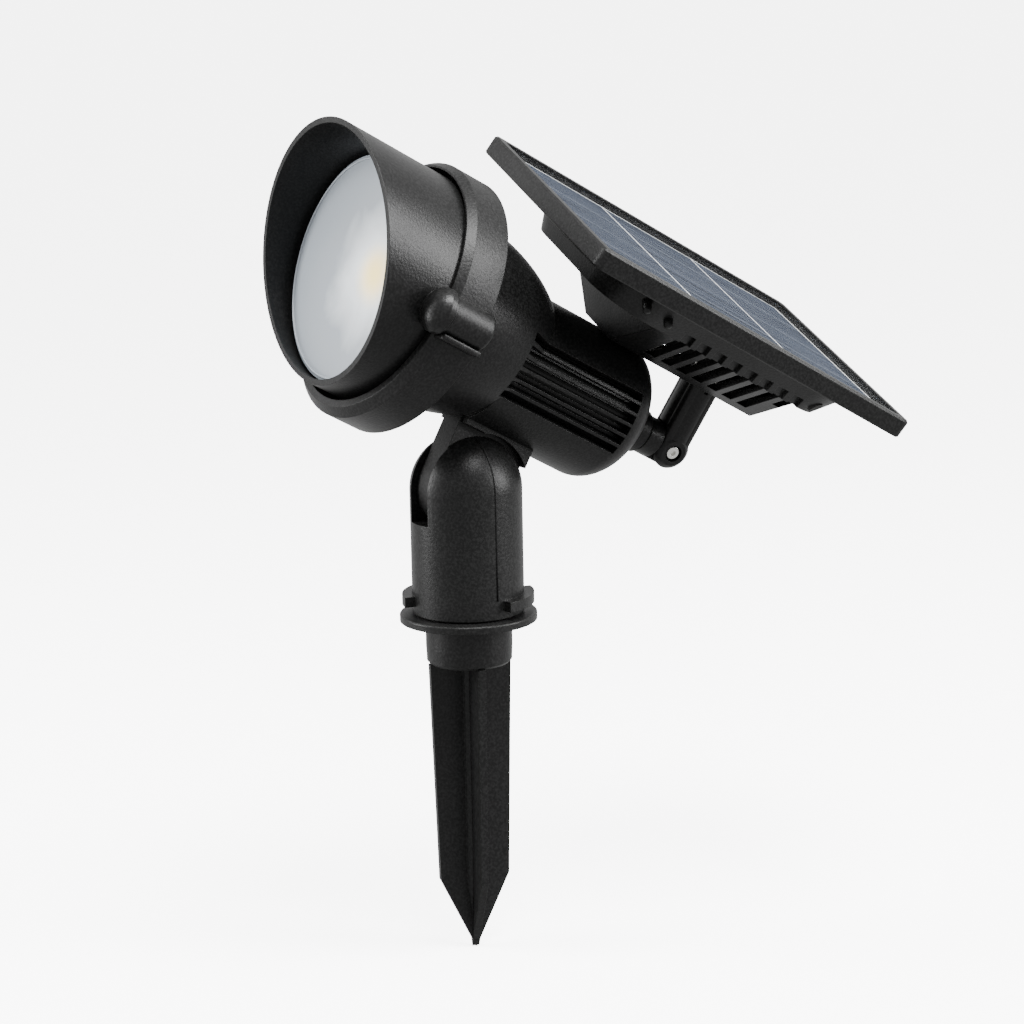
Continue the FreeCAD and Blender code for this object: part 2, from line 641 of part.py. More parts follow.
def panelBracket():
    top = TRAY_LOW - 0.05
    topHalf = TRAY_HALF - TRAY_DRAFT - 2.5
    t = HOPPER_WALL
    outside = hopper(HOPPER_HALF, topHalf, 0.0, HOPPER_LOW, top)
    inside = hopper(HOPPER_HALF - t, topHalf - t * 1.5, t, HOPPER_LOW + 2.5, top + 0.01)
    body = outside.cut(inside)
    footZ = HOPPER_LOW * math.tan(math.radians(ARM_LEAN))
    body = body.cut(Part.makeCylinder(6.55, 20, V(0, HOPPER_LOW - 5, footZ), V(0, 1, 0)))
    for x in (-7.8, 7.8):
        body = body.cut(Part.makeCylinder(1.6, 12, V(x, HOPPER_LOW - 5, footZ), V(0, 1, 0)))
    for slot in louvres():
        body = body.cut(slot)
    web = box(-WEB_HALF, WEB_HALF, HOPPER_LOW + 8, top, HOPPER_BACK, HOPPER_FRONT + 12)
    body = body.fuse(web.common(outside))
    for x, z in bracketScrewSpots():
        body = body.fuse(Part.makeCylinder(3.4, 4.0, V(x, top - 4.0, z), V(0, 1, 0)))
        body = body.cut(Part.makeCylinder(1.6, 12, V(x, top - 8.0, z), V(0, 1, 0)))
        body = body.cut(Part.makeCylinder(2.9, 5.0, V(x, top - 9.0, z), V(0, 1, 0)))
    return body.removeSplitter()


def bracketScrewSpots():
    return [(side * 12.0, z) for side in (-1, 1) for z in (-20.5, 61.0)]


def bracketScrews():
    screw = turned(capScrew(1.45, 9.0, 2.7, 2.2, 2.5), V(1, 0, 0), 90)
    return Part.makeCompound([moved(screw, x, TRAY_LOW - 4.1, z) for x, z in bracketScrewSpots()])


def armScrews():
    footZ = HOPPER_LOW * math.tan(math.radians(ARM_LEAN))
    screw = turned(capScrew(1.25, 6.0, 2.5, 2.0, 2.0), V(1, 0, 0), -90)
    return Part.makeCompound([moved(screw, x, HOPPER_LOW + 5.05, footZ) for x in (-7.8, 7.8)])


def trayLoft(grow):
    """Outer or inner form of the tray, shrunk by -grow on its sides."""
    low = roundedOutline(TRAY_HALF - TRAY_DRAFT + grow, TRAY_BACK + 5.0 - grow, TRAY_FRONT - 3.0 + grow,
                         TRAY_CORNER - 5.0 + grow, TRAY_LOW)
    top = roundedOutline(TRAY_HALF + grow, TRAY_BACK - grow, TRAY_FRONT + grow, TRAY_CORNER + grow, TRAY_TOP)
    return Part.makeLoft([low, top], True, True)


def trayScrewSpots():
    return [(side * 30.0, z) for side in (-1, 1) for z in (-12.0, 80.0)]


def backTray():
    """Shallow tray under the panel frame, with recesses where the louvres run up its sides."""
    inside = trayLoft(-TRAY_WALL).common(box(-90, 90, TRAY_LOW + 2.2, 90, -90, 190))
    skin = trayLoft(-3.2)
    body = trayLoft(0.0).cut(inside)
    for slot in louvres():
        body = body.cut(slot.cut(skin))
    lid = inside.common(box(-90, 90, TRAY_LOW, TRAY_TOP, -90, 190))
    for x, z in trayScrewSpots():
        boss = Part.makeCylinder(4.2, TRAY_TOP - TRAY_LOW - 0.05, V(x, TRAY_LOW + 0.02, z), V(0, 1, 0))
        body = body.fuse(boss.common(lid.fuse(boss.common(body))))
        body = body.cut(Part.makeCylinder(1.6, 40, V(x, TRAY_LOW - 5, z), V(0, 1, 0)))
        body = body.cut(Part.makeCylinder(3.0, 3.0, V(x, TRAY_LOW - 1, z), V(0, 1, 0)))
    for x, z in bracketScrewSpots():
        body = body.cut(Part.makeCylinder(1.5, 11, V(x, TRAY_LOW - 5, z), V(0, 1, 0)))
    return body.cut(buttonForm(0.25, -8.0, 8.0)).removeSplitter()


def trayScrews():
    screw = turned(capScrew(1.45, 14.0, 2.7, 1.8, 2.5), V(1, 0, 0), 90)
    return Part.makeCompound([moved(screw, x, TRAY_LOW + 1.95, z) for x, z in trayScrewSpots()])


def trayGasket():
    """Flat ring on the tray's rim."""
    def ringForm(inset, low, high):
        return slab(TRAY_HALF - inset, TRAY_BACK + inset, TRAY_FRONT - inset, TRAY_CORNER - inset, low, high)

    return ringForm(1.2, TRAY_TOP + 0.02, TRAY_TOP + 0.78).cut(ringForm(3.6, TRAY_TOP - 1, TRAY_TOP + 2))


def panelZ():
    return PANEL_MID - PANEL_L / 2, PANEL_MID + PANEL_L / 2


def panelFrame():
    """Moulded frame: raised rim round the glass, a ledge for the stack and a plain underside."""
    z0, z1 = panelZ()
    half = PANEL_W / 2
    low = PANEL_TOP - FRAME_T
    body = slab(half, z0, z1, 4.0, low, PANEL_TOP)
    topEdges = [e for e in body.Edges if abs(e.BoundBox.YMin - PANEL_TOP) < 0.01]
    body = body.makeChamfer(0.9, topEdges)
    lowEdges = [e for e in body.Edges if abs(e.BoundBox.YMax - low) < 0.01]
    body = body.makeChamfer(0.7, lowEdges)
    w = RIM_W
    pocket = slab(half - w, z0 + w, z1 - w, 3.0, PANEL_TOP - 4.8, PANEL_TOP + 1)
    opening = slab(half - w - 9, z0 + w + 9, z1 - w - 9, 3.0, low + 2.4, PANEL_TOP)
    body = body.cut(pocket).cut(opening)
    for x, z in trayScrewSpots():
        boss = Part.makeCylinder(3.6, 3.4, V(x, low + 0.5, z), V(0, 1, 0))
        body = body.fuse(boss)
        body = body.cut(Part.makeCylinder(1.5, 4.6, V(x, low - 1, z), V(0, 1, 0)))
    return body.removeSplitter()


def stackSlab(inset, y0, y1):
    z0, z1 = panelZ()
    w = RIM_W + inset
    return slab(PANEL_W / 2 - w, z0 + w, z1 - w, 3.2, y0, y1)


def glassTop():
    return PANEL_TOP - 0.7


def solarGlass():
    return stackSlab(0.1, glassTop() - GLASS_T, glassTop())


def cellSpan():
    """Length along z that the three cells share, and each cell's share."""
    z0, z1 = panelZ()
    start, end = z0 + RIM_W + 3.4, z1 - RIM_W - 3.4
    return start, end, (end - start) / 3


def solarCells():
    top = glassTop() - GLASS_T - 0.02
    start, _, step = cellSpan()
    half = PANEL_W / 2 - RIM_W - 3.4
    gap = RIBBON_W / 2 + 0.05
    spans = [(start + step * i + gap, start + step * (i + 1) - gap) for i in range(3)]
    return Part.makeCompound([box(-half, half, top - CELL_T, top, z0, z1) for z0, z1 in spans])


def cellRibbons():
    """Bright conductor round the cells and between them."""
    top = glassTop() - GLASS_T - 0.02
    start, end, step = cellSpan()
    half = PANEL_W / 2 - RIM_W - 3.4
    w = RIBBON_W
    outer = box(-half - w - 0.1, half + w + 0.1, top - CELL_T, top, start - w, end + w)
    hole = box(-half - 0.1, half + 0.1, top - 2, top + 1, start + 0.1, end - 0.1)
    ring = outer.cut(hole)
    middles = [start + step * i for i in (1, 2)]
    bars = [box(-half - 0.2, half + 0.2, top - CELL_T, top, z - w / 2, z + w / 2) for z in middles]
    return fused([ring] + bars)


def backSheet():
    top = glassTop() - GLASS_T - CELL_T - 0.04
    return stackSlab(0.2, PANEL_TOP - 4.78, top)


def buttonFrame(shape):
    """Places a shape built about +Z at the tray's rear corner, with +Z along the wall's outward normal."""
    lift = math.degrees(math.atan2(TRAY_DRAFT, TRAY_TOP - TRAY_LOW)) * 0.78
    body = turned(shape, V(0, 1, 0), 90)
    body = turned(body, V(0, 0, 1), -lift)
    body = turned(body, V(0, 1, 0), 24.0)
    return moved(body, *BUTTON_SPOT)


def buttonForm(grow, low, high):
    """Oval bar through the tray's wall."""
    r = 1.9 + grow
    bar = fused([rod(r, low, high, y=-1.5), rod(r, low, high, y=1.5), box(-r, r, -1.5, 1.5, low, high)])
    return buttonFrame(bar)


def powerButton():
    return buttonForm(0.0, -4.6, -0.6)


SPIKE_AND_STEM = [("ground_spike", groundSpike), ("spike_seal", spikeSeal), ("stem", stem),
                  ("pivot_bolt", pivotBolt), ("pivot_nut", pivotNut)]
HEAD = [("tilt_lug", tiltLug), ("pivot_washers", pivotWashers), ("lug_screws", lugScrews),
        ("rear_housing", rearHousing), ("post_bush", postBush), ("bezel_ring", bezelRing),
        ("bezel_screws", bezelScrews), ("hood", hood), ("hood_screws", hoodScrews), ("lens", lens),
        ("lens_gasket", lensGasket), ("reflector", reflector), ("led_board", ledBoard),
        ("led_emitter", ledEmitter), ("heat_sink", heatSink), ("battery_sleeve", batterySleeve),
        ("battery_cell", batteryCell), ("control_board", controlBoard)]
POST = [("swivel_post", swivelPost), ("post_seal", postSeal), ("post_clip", postClip)]
PANEL = [("panel_arm", panelArm), ("hinge_screw", hingeScrew), ("hinge_nut", hingeNut),
         ("panel_bracket", panelBracket), ("bracket_screws", bracketScrews), ("arm_screws", armScrews),
         ("back_tray", backTray), ("tray_screws", trayScrews), ("tray_gasket", trayGasket),
         ("panel_frame", panelFrame), ("back_sheet", backSheet), ("solar_cells", solarCells),
         ("cell_ribbons", cellRibbons), ("solar_glass", solarGlass), ("power_button", powerButton)]


def build():
    os.makedirs("parts", exist_ok=True)
    for node, make in SPIKE_AND_STEM:
        save(make(), node)
    for node, make in HEAD:
        save(inHead(make()), node)
    for node, make in POST:
        save(inHead(turned(make(), V(0, 0, 1), -ROLL, V(0, BARREL_Y, 0))), node)
    for node, make in PANEL:
        save(inPanel(make()), node)


build()
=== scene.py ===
import json
import math

import bmesh
import bpy
from mathutils import Matrix, Vector


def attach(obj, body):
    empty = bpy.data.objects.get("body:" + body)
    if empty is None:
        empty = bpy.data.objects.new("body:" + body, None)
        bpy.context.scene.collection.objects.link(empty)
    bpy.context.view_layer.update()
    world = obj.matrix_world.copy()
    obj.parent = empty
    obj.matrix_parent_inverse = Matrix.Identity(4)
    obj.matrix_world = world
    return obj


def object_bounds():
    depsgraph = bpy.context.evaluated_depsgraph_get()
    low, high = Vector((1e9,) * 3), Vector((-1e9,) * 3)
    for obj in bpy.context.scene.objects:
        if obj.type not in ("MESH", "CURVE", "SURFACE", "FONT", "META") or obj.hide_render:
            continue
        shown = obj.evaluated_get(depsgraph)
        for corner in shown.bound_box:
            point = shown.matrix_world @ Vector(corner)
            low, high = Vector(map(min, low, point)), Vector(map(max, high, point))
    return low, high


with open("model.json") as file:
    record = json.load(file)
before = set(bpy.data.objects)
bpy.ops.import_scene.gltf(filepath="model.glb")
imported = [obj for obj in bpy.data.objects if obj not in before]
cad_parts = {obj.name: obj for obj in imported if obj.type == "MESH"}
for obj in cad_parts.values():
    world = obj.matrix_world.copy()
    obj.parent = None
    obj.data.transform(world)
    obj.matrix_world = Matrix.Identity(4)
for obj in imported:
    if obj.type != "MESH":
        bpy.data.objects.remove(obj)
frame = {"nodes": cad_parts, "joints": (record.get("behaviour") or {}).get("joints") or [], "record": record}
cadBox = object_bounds()
mm = 0.001
print("frame loaded")


joints = {j["name"]: j for j in frame["joints"]}


def jointPos(name):
    return Vector(joints[name]["pos_m"])


def jointAxis(name):
    return Vector(joints[name]["axis"]).normalized()


def axesAt(origin, xAxis, zAxis):
    # columns x, y, z with y completing a right-handed set
    yAxis = zAxis.cross(xAxis).normalized()
    place = Matrix((xAxis, yAxis, zAxis)).transposed().to_4x4()
    place.translation = origin
    return place


lampAxis = jointAxis("panel_swivel")         # along the lamp, as the post's bush lies on its axis
headPlace = axesAt(jointPos("head_tilt"), Vector((1, 0, 0)), lampAxis)
panelPlace = axesAt(jointPos("panel_tilt"), -jointAxis("panel_tilt"), lampAxis)


def hexColour(text):
    parts = [int(text[i:i + 2], 16) / 255 for i in (1, 3, 5)]
    linear = [c / 12.92 if c <= 0.04045 else ((c + 0.055) / 1.055) ** 2.4 for c in parts]
    return (*linear, 1.0)


def addNode(tree, kind, settings=None, inputs=None, links=None):
    # settings are node properties, inputs are socket values, links join an input to another node's output
    node = tree.nodes.new(kind)
    for key, value in (settings or {}).items():
        setattr(node, key, value)
    for key, value in (inputs or {}).items():
        node.inputs[key].default_value = value
    for key, (other, output) in (links or {}).items():
        tree.links.new(other.outputs[output], node.inputs[key])
    return node


def startMaterial(name, colour, roughness, extra=None):
    material = bpy.data.materials.new(name)
    material.use_nodes = True
    tree = material.node_tree
    shader = tree.nodes["Principled BSDF"]
    shader.inputs["Base Color"].default_value = hexColour(colour)
    shader.inputs["Roughness"].default_value = roughness
    for key, value in (extra or {}).items():
        shader.inputs[key].default_value = value
    return material, tree, shader


def setRamp(ramp, stops):
    elements = ramp.color_ramp.elements
    while len(elements) > 2:
        elements.remove(elements[-1])
    for i, (place, colour) in enumerate(stops):
        element = elements[i] if i < 2 else elements.new(place)
        element.position = place
        element.color = hexColour(colour)


def objectPoint(tree, place=None):
    # object coordinates, or the same in a piece's own axes
    coords = addNode(tree, "ShaderNodeTexCoord")
    if place is None:
        return coords, "Object"
    inverse = place.inverted()
    turn = addNode(tree, "ShaderNodeMapping", {"vector_type": "POINT"},
                   {"Location": inverse.translation, "Rotation": inverse.to_euler()},
                   {"Vector": (coords, "Object")})
    return turn, "Vector"


absLook = {
    "grain": 1.1,        # mm; a spark-eroded mould gives about 0.3 mm, drawn coarser so that it shows
    "grainDepth": 0.13,  # mm
    "edge": 0.45,        # mm, radius a moulded edge catches light on
    "cloud": 34.0,       # mm, patches where the gloss differs a little
    "sheen": 0.17,       # the mould's texture breaks up most of the straight reflection
}


def mouldedAbs(name, colour="#0a0a0a", light="#191919", roughness=(0.34, 0.44)):
    # moulded ABS: black pigment through and through, satin from the fine texture of the mould
    material, tree, shader = startMaterial(name, colour, roughness[0], {"Specular IOR Level": absLook["sheen"]})
    coords = objectPoint(tree)
    cloud = addNode(tree, "ShaderNodeTexNoise", {}, {"Scale": 1 / (absLook["cloud"] * mm), "Detail": 4.0},
                    {"Vector": coords})
    grain = addNode(tree, "ShaderNodeTexNoise", {}, {"Scale": 1 / (absLook["grain"] * mm), "Detail": 2.0},
                    {"Vector": coords})
    tone = addNode(tree, "ShaderNodeValToRGB", {}, {}, {"Fac": (grain, "Fac")})
    setRamp(tone, [(0.4, colour), (0.66, light)])
    gloss = addNode(tree, "ShaderNodeMapRange", {}, {"From Min": 0.3, "From Max": 0.7, "To Min": roughness[0],
                                                     "To Max": roughness[1]}, {"Value": (cloud, "Fac")})
    edge = addNode(tree, "ShaderNodeBevel", {"samples": 4}, {"Radius": absLook["edge"] * mm})
    bump = addNode(tree, "ShaderNodeBump", {}, {"Strength": 0.8, "Distance": absLook["grainDepth"] * mm},
                   {"Height": (grain, "Fac"), "Normal": (edge, "Normal")})
    tree.links.new(tone.outputs["Color"], shader.inputs["Base Color"])
    tree.links.new(gloss.outputs["Result"], shader.inputs["Roughness"])
    tree.links.new(bump.outputs["Normal"], shader.inputs["Normal"])
    return material


def siliconeRubber(name):
    # moulded silicone: matte, slightly dusty
    material, tree, shader = startMaterial(name, "#161616", 0.7)
    coords = objectPoint(tree)
    dust = addNode(tree, "ShaderNodeTexNoise", {}, {"Scale": 1 / (3.0 * mm), "Detail": 5.0}, {"Vector": coords})
    tone = addNode(tree, "ShaderNodeValToRGB", {}, {}, {"Fac": (dust, "Fac")})
    setRamp(tone, [(0.4, "#131313"), (0.8, "#262625")])
    tree.links.new(tone.outputs["Color"], shader.inputs["Base Color"])
    return material


def turnedStainless(name):
    # stainless screw: cold-headed and polished, with faint turning marks
    material, tree, shader = startMaterial(name, "#c9c8c4", 0.24, {"Metallic": 1.0})
    coords = objectPoint(tree)
    marks = addNode(tree, "ShaderNodeTexNoise", {}, {"Scale": 1 / (0.9 * mm), "Detail": 3.0}, {"Vector": coords})
    gloss = addNode(tree, "ShaderNodeMapRange", {}, {"To Min": 0.16, "To Max": 0.36}, {"Value": (marks, "Fac")})
    edge = addNode(tree, "ShaderNodeBevel", {"samples": 4}, {"Radius": 0.2 * mm})
    tree.links.new(gloss.outputs["Result"], shader.inputs["Roughness"])
    tree.links.new(edge.outputs["Normal"], shader.inputs["Normal"])
    return material


def plainTone(name, low, high, roughness, size, extra=None):
    # an inner piece's finish: two tones of one colour in soft patches of the given size in mm
    material, tree, shader = startMaterial(name, low, roughness, extra)
    coords = objectPoint(tree)
    patch = addNode(tree, "ShaderNodeTexNoise", {}, {"Scale": 1 / (size * mm), "Detail": 4.0}, {"Vector": coords})
    tone = addNode(tree, "ShaderNodeValToRGB", {}, {}, {"Fac": (patch, "Fac")})
    setRamp(tone, [(0.35, low), (0.7, high)])
    tree.links.new(tone.outputs["Color"], shader.inputs["Base Color"])
    return material


lensLook = {
    "radius": 49.5,              # mm
    "axisY": 63.4,               # mm above the tilt pivot
    "warm": (24.0, -2.0),        # mm, where the yellow of the diode shows through
    "warmSize": 17.0,            # mm
    "cloud": 30.0,               # mm
    "frost": 1.4,                # mm, coarser than real so that it shows
    "glow": 0.16,                # painted glow: the lens gives off a little light of its own
}


def frostedPolycarbonate(name):
    # frosted polycarbonate: milky with soft grey clouds, with painted light round the diode that turns to painted
    # shade outwards towards the rim, the diode's yellow showing faintly, and a painted glow
    material, tree, shader = startMaterial(name, "#c9cdcf", 0.42, {"Coat Weight": 0.25, "Coat Roughness": 0.3})
    centre = headPlace @ Matrix.Translation(Vector((lensLook["warm"][0], lensLook["axisY"] + lensLook["warm"][1],
                                                    90.0)) * mm)
    spot = objectPoint(tree, centre)
    flat = addNode(tree, "ShaderNodeVectorMath", {"operation": "MULTIPLY"}, {1: (1.0, 1.0, 0.0)}, {0: spot})
    away = addNode(tree, "ShaderNodeVectorMath", {"operation": "LENGTH"}, {}, {0: (flat, "Vector")})
    cloud = addNode(tree, "ShaderNodeTexNoise", {}, {"Scale": 1 / (lensLook["cloud"] * mm), "Detail": 3.0,
                                                     "Distortion": 0.6}, {"Vector": spot})
    # painted light and shade: lighter round the diode, darkening outwards from it towards the lens's rim
    paintedRimShade = addNode(tree, "ShaderNodeMapRange", {}, {"From Max": lensLook["radius"] * mm},
                    {"Value": (away, "Value")})
    cloudAndPaintedShade = addNode(tree, "ShaderNodeMath", {"operation": "MULTIPLY_ADD"}, {1: 0.6},
                    {0: (cloud, "Fac"), 2: (paintedRimShade, "Result")})
    grey = addNode(tree, "ShaderNodeValToRGB", {}, {}, {"Fac": (cloudAndPaintedShade, "Value")})
    setRamp(grey, [(0.2, "#e9ecec"), (0.6, "#bcc1c4"), (1.0, "#767c82")])
    warm = addNode(tree, "ShaderNodeMapRange", {"interpolation_type": "SMOOTHERSTEP"},
                   {"From Max": lensLook["warmSize"] * mm, "To Min": 1.0, "To Max": 0.0},
                   {"Value": (away, "Value")})
    blend = addNode(tree, "ShaderNodeMix", {"data_type": "RGBA"}, {7: hexColour("#ffe28a")},
                    {0: (warm, "Result"), 6: (grey, "Color")})
    frost = addNode(tree, "ShaderNodeTexNoise", {}, {"Scale": 1 / (lensLook["frost"] * mm), "Detail": 2.0},
                    {"Vector": spot})
    bump = addNode(tree, "ShaderNodeBump", {}, {"Strength": 0.3, "Distance": 0.05 * mm}, {"Height": (frost, "Fac")})
    tree.links.new(blend.outputs[2], shader.inputs["Base Color"])
    # painted glow: the lens's colours are also given off as light, though it is no lamp
    tree.links.new(blend.outputs[2], shader.inputs["Emission Color"])
    shader.inputs["Emission Strength"].default_value = lensLook["glow"]
    tree.links.new(bump.outputs["Normal"], shader.inputs["Normal"])
    return material


cellLook = {
    "finger": 2.1,       # mm between the fine printed lines, drawn coarser than real so that they show
    "fingerWide": 0.22,  # mm
    "bus": 30.0,         # mm between the wider collector lines
    "busWide": 1.1,      # mm
    "fibre": 1.6,        # mm, width of the lengthwise streaks
    "fibreLong": 90.0,   # mm
}


def siliconCell(name):
    # monocrystalline silicon: blue-grey from its coating, with fine silver lines printed along it
    material, tree, shader = startMaterial(name, "#1a202a", 0.6, {"Specular IOR Level": 0.0})
    along = objectPoint(tree, panelPlace)
    scale = (1 / (cellLook["fibre"] * mm), 1.0, 1 / (cellLook["fibreLong"] * mm))
    streak = addNode(tree, "ShaderNodeMapping", {}, {"Scale": scale}, {"Vector": along})
    fibre = addNode(tree, "ShaderNodeTexNoise", {}, {"Scale": 1.0, "Detail": 4.0}, {"Vector": (streak, "Vector")})
    base = addNode(tree, "ShaderNodeValToRGB", {}, {}, {"Fac": (fibre, "Fac")})
    setRamp(base, [(0.38, "#14171d"), (0.62, "#343943")])
    axes = addNode(tree, "ShaderNodeSeparateXYZ", {}, {}, {"Vector": along})
    mixes = (base, "Color")
    for line in ("finger", "bus"):
        pitch, width = cellLook[line], cellLook[line + "Wide"]
        part = addNode(tree, "ShaderNodeMath", {"operation": "PINGPONG"}, {1: pitch / 2 * mm}, {0: (axes, "X")})
        mask = addNode(tree, "ShaderNodeMath", {"operation": "LESS_THAN"}, {1: width / 2 * mm},
                       {0: (part, "Value")})
        tint = addNode(tree, "ShaderNodeMix", {"data_type": "RGBA"}, {7: hexColour("#4f545c")},
                       {0: (mask, "Value"), 6: mixes})
        mixes = (tint, 2)
    tree.links.new(mixes[0].outputs[mixes[1]], shader.inputs["Base Color"])
    return material


def panelGlass(name):
    # tempered solar glass: clear, low in iron, faintly rolled; its coating leaves little but the cells behind it,
    # so it is a thin see-through layer that only the straight reflection shows on
    material, tree, shader = startMaterial(name, "#10141a", 0.06, {"Alpha": 0.05, "IOR": 1.5})
    roll = addNode(tree, "ShaderNodeTexNoise", {}, {"Scale": 1 / (25.0 * mm), "Detail": 2.0},
                   {"Vector": objectPoint(tree)})
    gloss = addNode(tree, "ShaderNodeMapRange", {}, {"To Min": 0.1, "To Max": 0.3}, {"Value": (roll, "Fac")})
    tree.links.new(gloss.outputs["Result"], shader.inputs["Roughness"])
    return material


absBody = mouldedAbs("mouldedAbs")
absSmooth = mouldedAbs("mouldedAbsSmooth", "#0a0a0a", "#161616", (0.3, 0.38))
rubber = siliconeRubber("siliconeRubber")
stainless = turnedStainless("turnedStainless")
lensFinish = frostedPolycarbonate("frostedPolycarbonate")
cellFinish = siliconCell("monocrystallineSilicon")
glassFinish = panelGlass("temperedSolarGlass")
ribbonFinish = plainTone("tinnedCopper", "#dfe2e3", "#f2f3f3", 0.35, 4.0, {"Metallic": 0.3})
sheetFinish = plainTone("whiteBackSheet", "#d9dcdd", "#eceeee", 0.6, 12.0)
nylon = plainTone("naturalNylon", "#cfcbbf", "#dedbd0", 0.5, 8.0)
aluminium = plainTone("extrudedAluminium", "#b4b6b8", "#cdcfd0", 0.38, 5.0, {"Metallic": 1.0})
boardFinish = plainTone("circuitBoard", "#dfe2df", "#eceeec", 0.45, 6.0)
phosphor = plainTone("ledPhosphor", "#e8b92f", "#f3d15c", 0.5, 2.0)
whiteDish = plainTone("glossWhiteAbs", "#e6e7e5", "#f1f2f0", 0.28, 15.0)
shrinkSleeve = plainTone("pvcShrinkSleeve", "#24508a", "#2f62a4", 0.3, 10.0)

finishes = {
    "abs_black": absBody, "rubber_seal": rubber, "stainless": stainless, "nylon_bush": nylon,
    "lens_frosted": lensFinish, "reflector_white": whiteDish, "circuit_board": boardFinish,
    "led_phosphor": phosphor, "aluminium": aluminium, "cell_wrap": shrinkSleeve, "back_sheet": sheetFinish,
    "silicon_cell": cellFinish, "tinned_ribbon": ribbonFinish, "solar_glass": glassFinish,
    "button_rubber": rubber,
}
smoothNodes = {"hood", "panel_arm", "swivel_post"}

for part in frame["record"]["subparts"]:
    finish = absSmooth if part["node"] in smoothNodes else finishes[part["material_slot"]]
    for place in frame["nodes"][part["node"]].material_slots:
        place.material = finish
print("materials set")


def newPiece(name, mesh, place, material, body):
    bmesh.ops.remove_doubles(mesh, verts=mesh.verts, dist=0.001)
    bmesh.ops.transform(mesh, matrix=place @ Matrix.Scale(mm, 4), verts=mesh.verts)   # built in mm
    bmesh.ops.recalc_face_normals(mesh, faces=mesh.faces)
    data = bpy.data.meshes.new(name)
    mesh.to_mesh(data)
    mesh.free()
    for face in data.polygons:
        face.use_smooth = True
    data.materials.append(material)
    piece = bpy.data.objects.new(name, data)
    bpy.context.scene.collection.objects.link(piece)
    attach(piece, body)


def latheInto(mesh, profile, centre, axis, steps):
    # profile is (radius, height) from the axis out, turned full circle about the axis through centre
    turn = Vector((0, 0, 1)).rotation_difference(Vector(axis)).to_matrix().to_4x4()
    turn.translation = Vector(centre)
    verts = [mesh.verts.new(turn @ Vector((r, 0, h))) for r, h in profile]
    edges = [mesh.edges.new(pair) for pair in zip(verts, verts[1:])]
    bmesh.ops.spin(mesh, geom=verts + edges, cent=Vector(centre), axis=Vector(axis).normalized(),
                   angle=math.tau, steps=steps, use_merge=True)


def bevelledBlock(mesh, low, high, bevel, segments=3):
    low, high = Vector(low), Vector(high)
    made = bmesh.ops.create_cube(mesh, size=1.0)["verts"]
    bmesh.ops.scale(mesh, vec=high - low, verts=made)
    bmesh.ops.translate(mesh, vec=(low + high) / 2, verts=made)
    edges = list({e for v in made for e in v.link_edges})
    bmesh.ops.bevel(mesh, geom=edges, offset=bevel, segments=segments, affect="EDGES", profile=0.5, material=-1)


ledgeLook = {"inner": 56.5, "outer": 64.2, "top": 47.6, "thick": 2.6, "back": 59.8, "front": 80.0, "bevel": 0.7}


def bezelLedges():
    # shelf at each end of the bezel's lower skirt, under the side boss
    mesh = bmesh.new()
    look = ledgeLook
    for side in (-1, 1):
        ends = sorted((side * look["inner"], side * look["outer"]))
        bevelledBlock(mesh, (ends[0], look["top"] - look["thick"], look["back"]),
                      (ends[1], look["top"], look["front"]), look["bevel"])
    newPiece("bezelLedges", mesh, headPlace, absBody, "head")


beadLook = {"radius": 47.9, "thick": 0.55, "lift": 3.35, "rake": 11.8, "seat": 93.0}


def lensBead():
    # raised ring moulded round the edge of the lens
    look = beadLook
    mesh = bmesh.new()
    ring = bmesh.ops.create_circle(mesh, segments=10, radius=look["thick"])["verts"]
    bmesh.ops.rotate(mesh, cent=(0, 0, 0), matrix=Matrix.Rotation(math.pi / 2, 3, "X"), verts=ring)
    bmesh.ops.translate(mesh, vec=(look["radius"], 0, look["lift"]), verts=ring)
    bmesh.ops.spin(mesh, geom=mesh.verts[:] + mesh.edges[:], cent=(0, 0, 0), axis=(0, 0, 1), angle=math.tau,
                   steps=120, use_merge=True)
    place = headPlace @ Matrix.Translation(Vector((0, lensLook["axisY"], look["seat"])) * mm)
    newPiece("lensBead", mesh, place @ Matrix.Rotation(math.radians(look["rake"]), 4, "X"), lensFinish, "head")


seamLook = {"radius": 25.0, "wide": 0.42, "low": 12.6, "pivot": 59.3, "turn": 66.0}


def stemSeams():
    # the line left where the two halves of the mould met, up each side of the stem and over its top
    look = seamLook
    mesh = bmesh.new()
    for side in (-1, 1):
        ring = bmesh.ops.create_circle(mesh, segments=8, radius=look["wide"])["verts"]
        bmesh.ops.translate(mesh, vec=(side * look["radius"], 0, look["low"]), verts=ring)
        loop = list({e for v in ring for e in v.link_edges})
        risen = bmesh.ops.extrude_edge_only(mesh, edges=loop)["geom"]
        top = [g for g in risen if isinstance(g, bmesh.types.BMVert)]
        bmesh.ops.translate(mesh, vec=(0, 0, look["pivot"] - look["low"]), verts=top)
        rim = [g for g in risen if isinstance(g, bmesh.types.BMEdge) and all(v in top for v in g.verts)]
        bmesh.ops.spin(mesh, geom=top + rim, cent=(0, 0, look["pivot"]), axis=(0, -side, 0),
                       angle=math.radians(look["turn"]), steps=14)
    bmesh.ops.holes_fill(mesh, edges=[e for e in mesh.edges if e.is_boundary], sides=8)
    newPiece("stemSeams", mesh, Matrix.Identity(4), absBody, "stem")


pegLook = {
    "profile": [(0.0, 3.0), (1.1, 2.8), (1.9, 2.1), (2.1, 0.0), (2.1, -3.5), (0.0, -3.5)],
    "places": [(54.0, 60.8, 90.0), (53.0, 59.6, 76.0)],     # panel axes, mm, on the +x wall
}


def trayPegs():
    # rounded locating pegs on the tray's sloping walls
    mesh = bmesh.new()
    for x, h, z in pegLook["places"]:
        for side in (-1, 1):
            latheInto(mesh, pegLook["profile"], (side * x, h, z), (side * 1.0, -0.75, 0.0), 20)
    newPiece("trayPegs", mesh, panelPlace, absBody, "panel")


bezelLedges()
lensBead()
stemSeams()
trayPegs()
print("small pieces made")


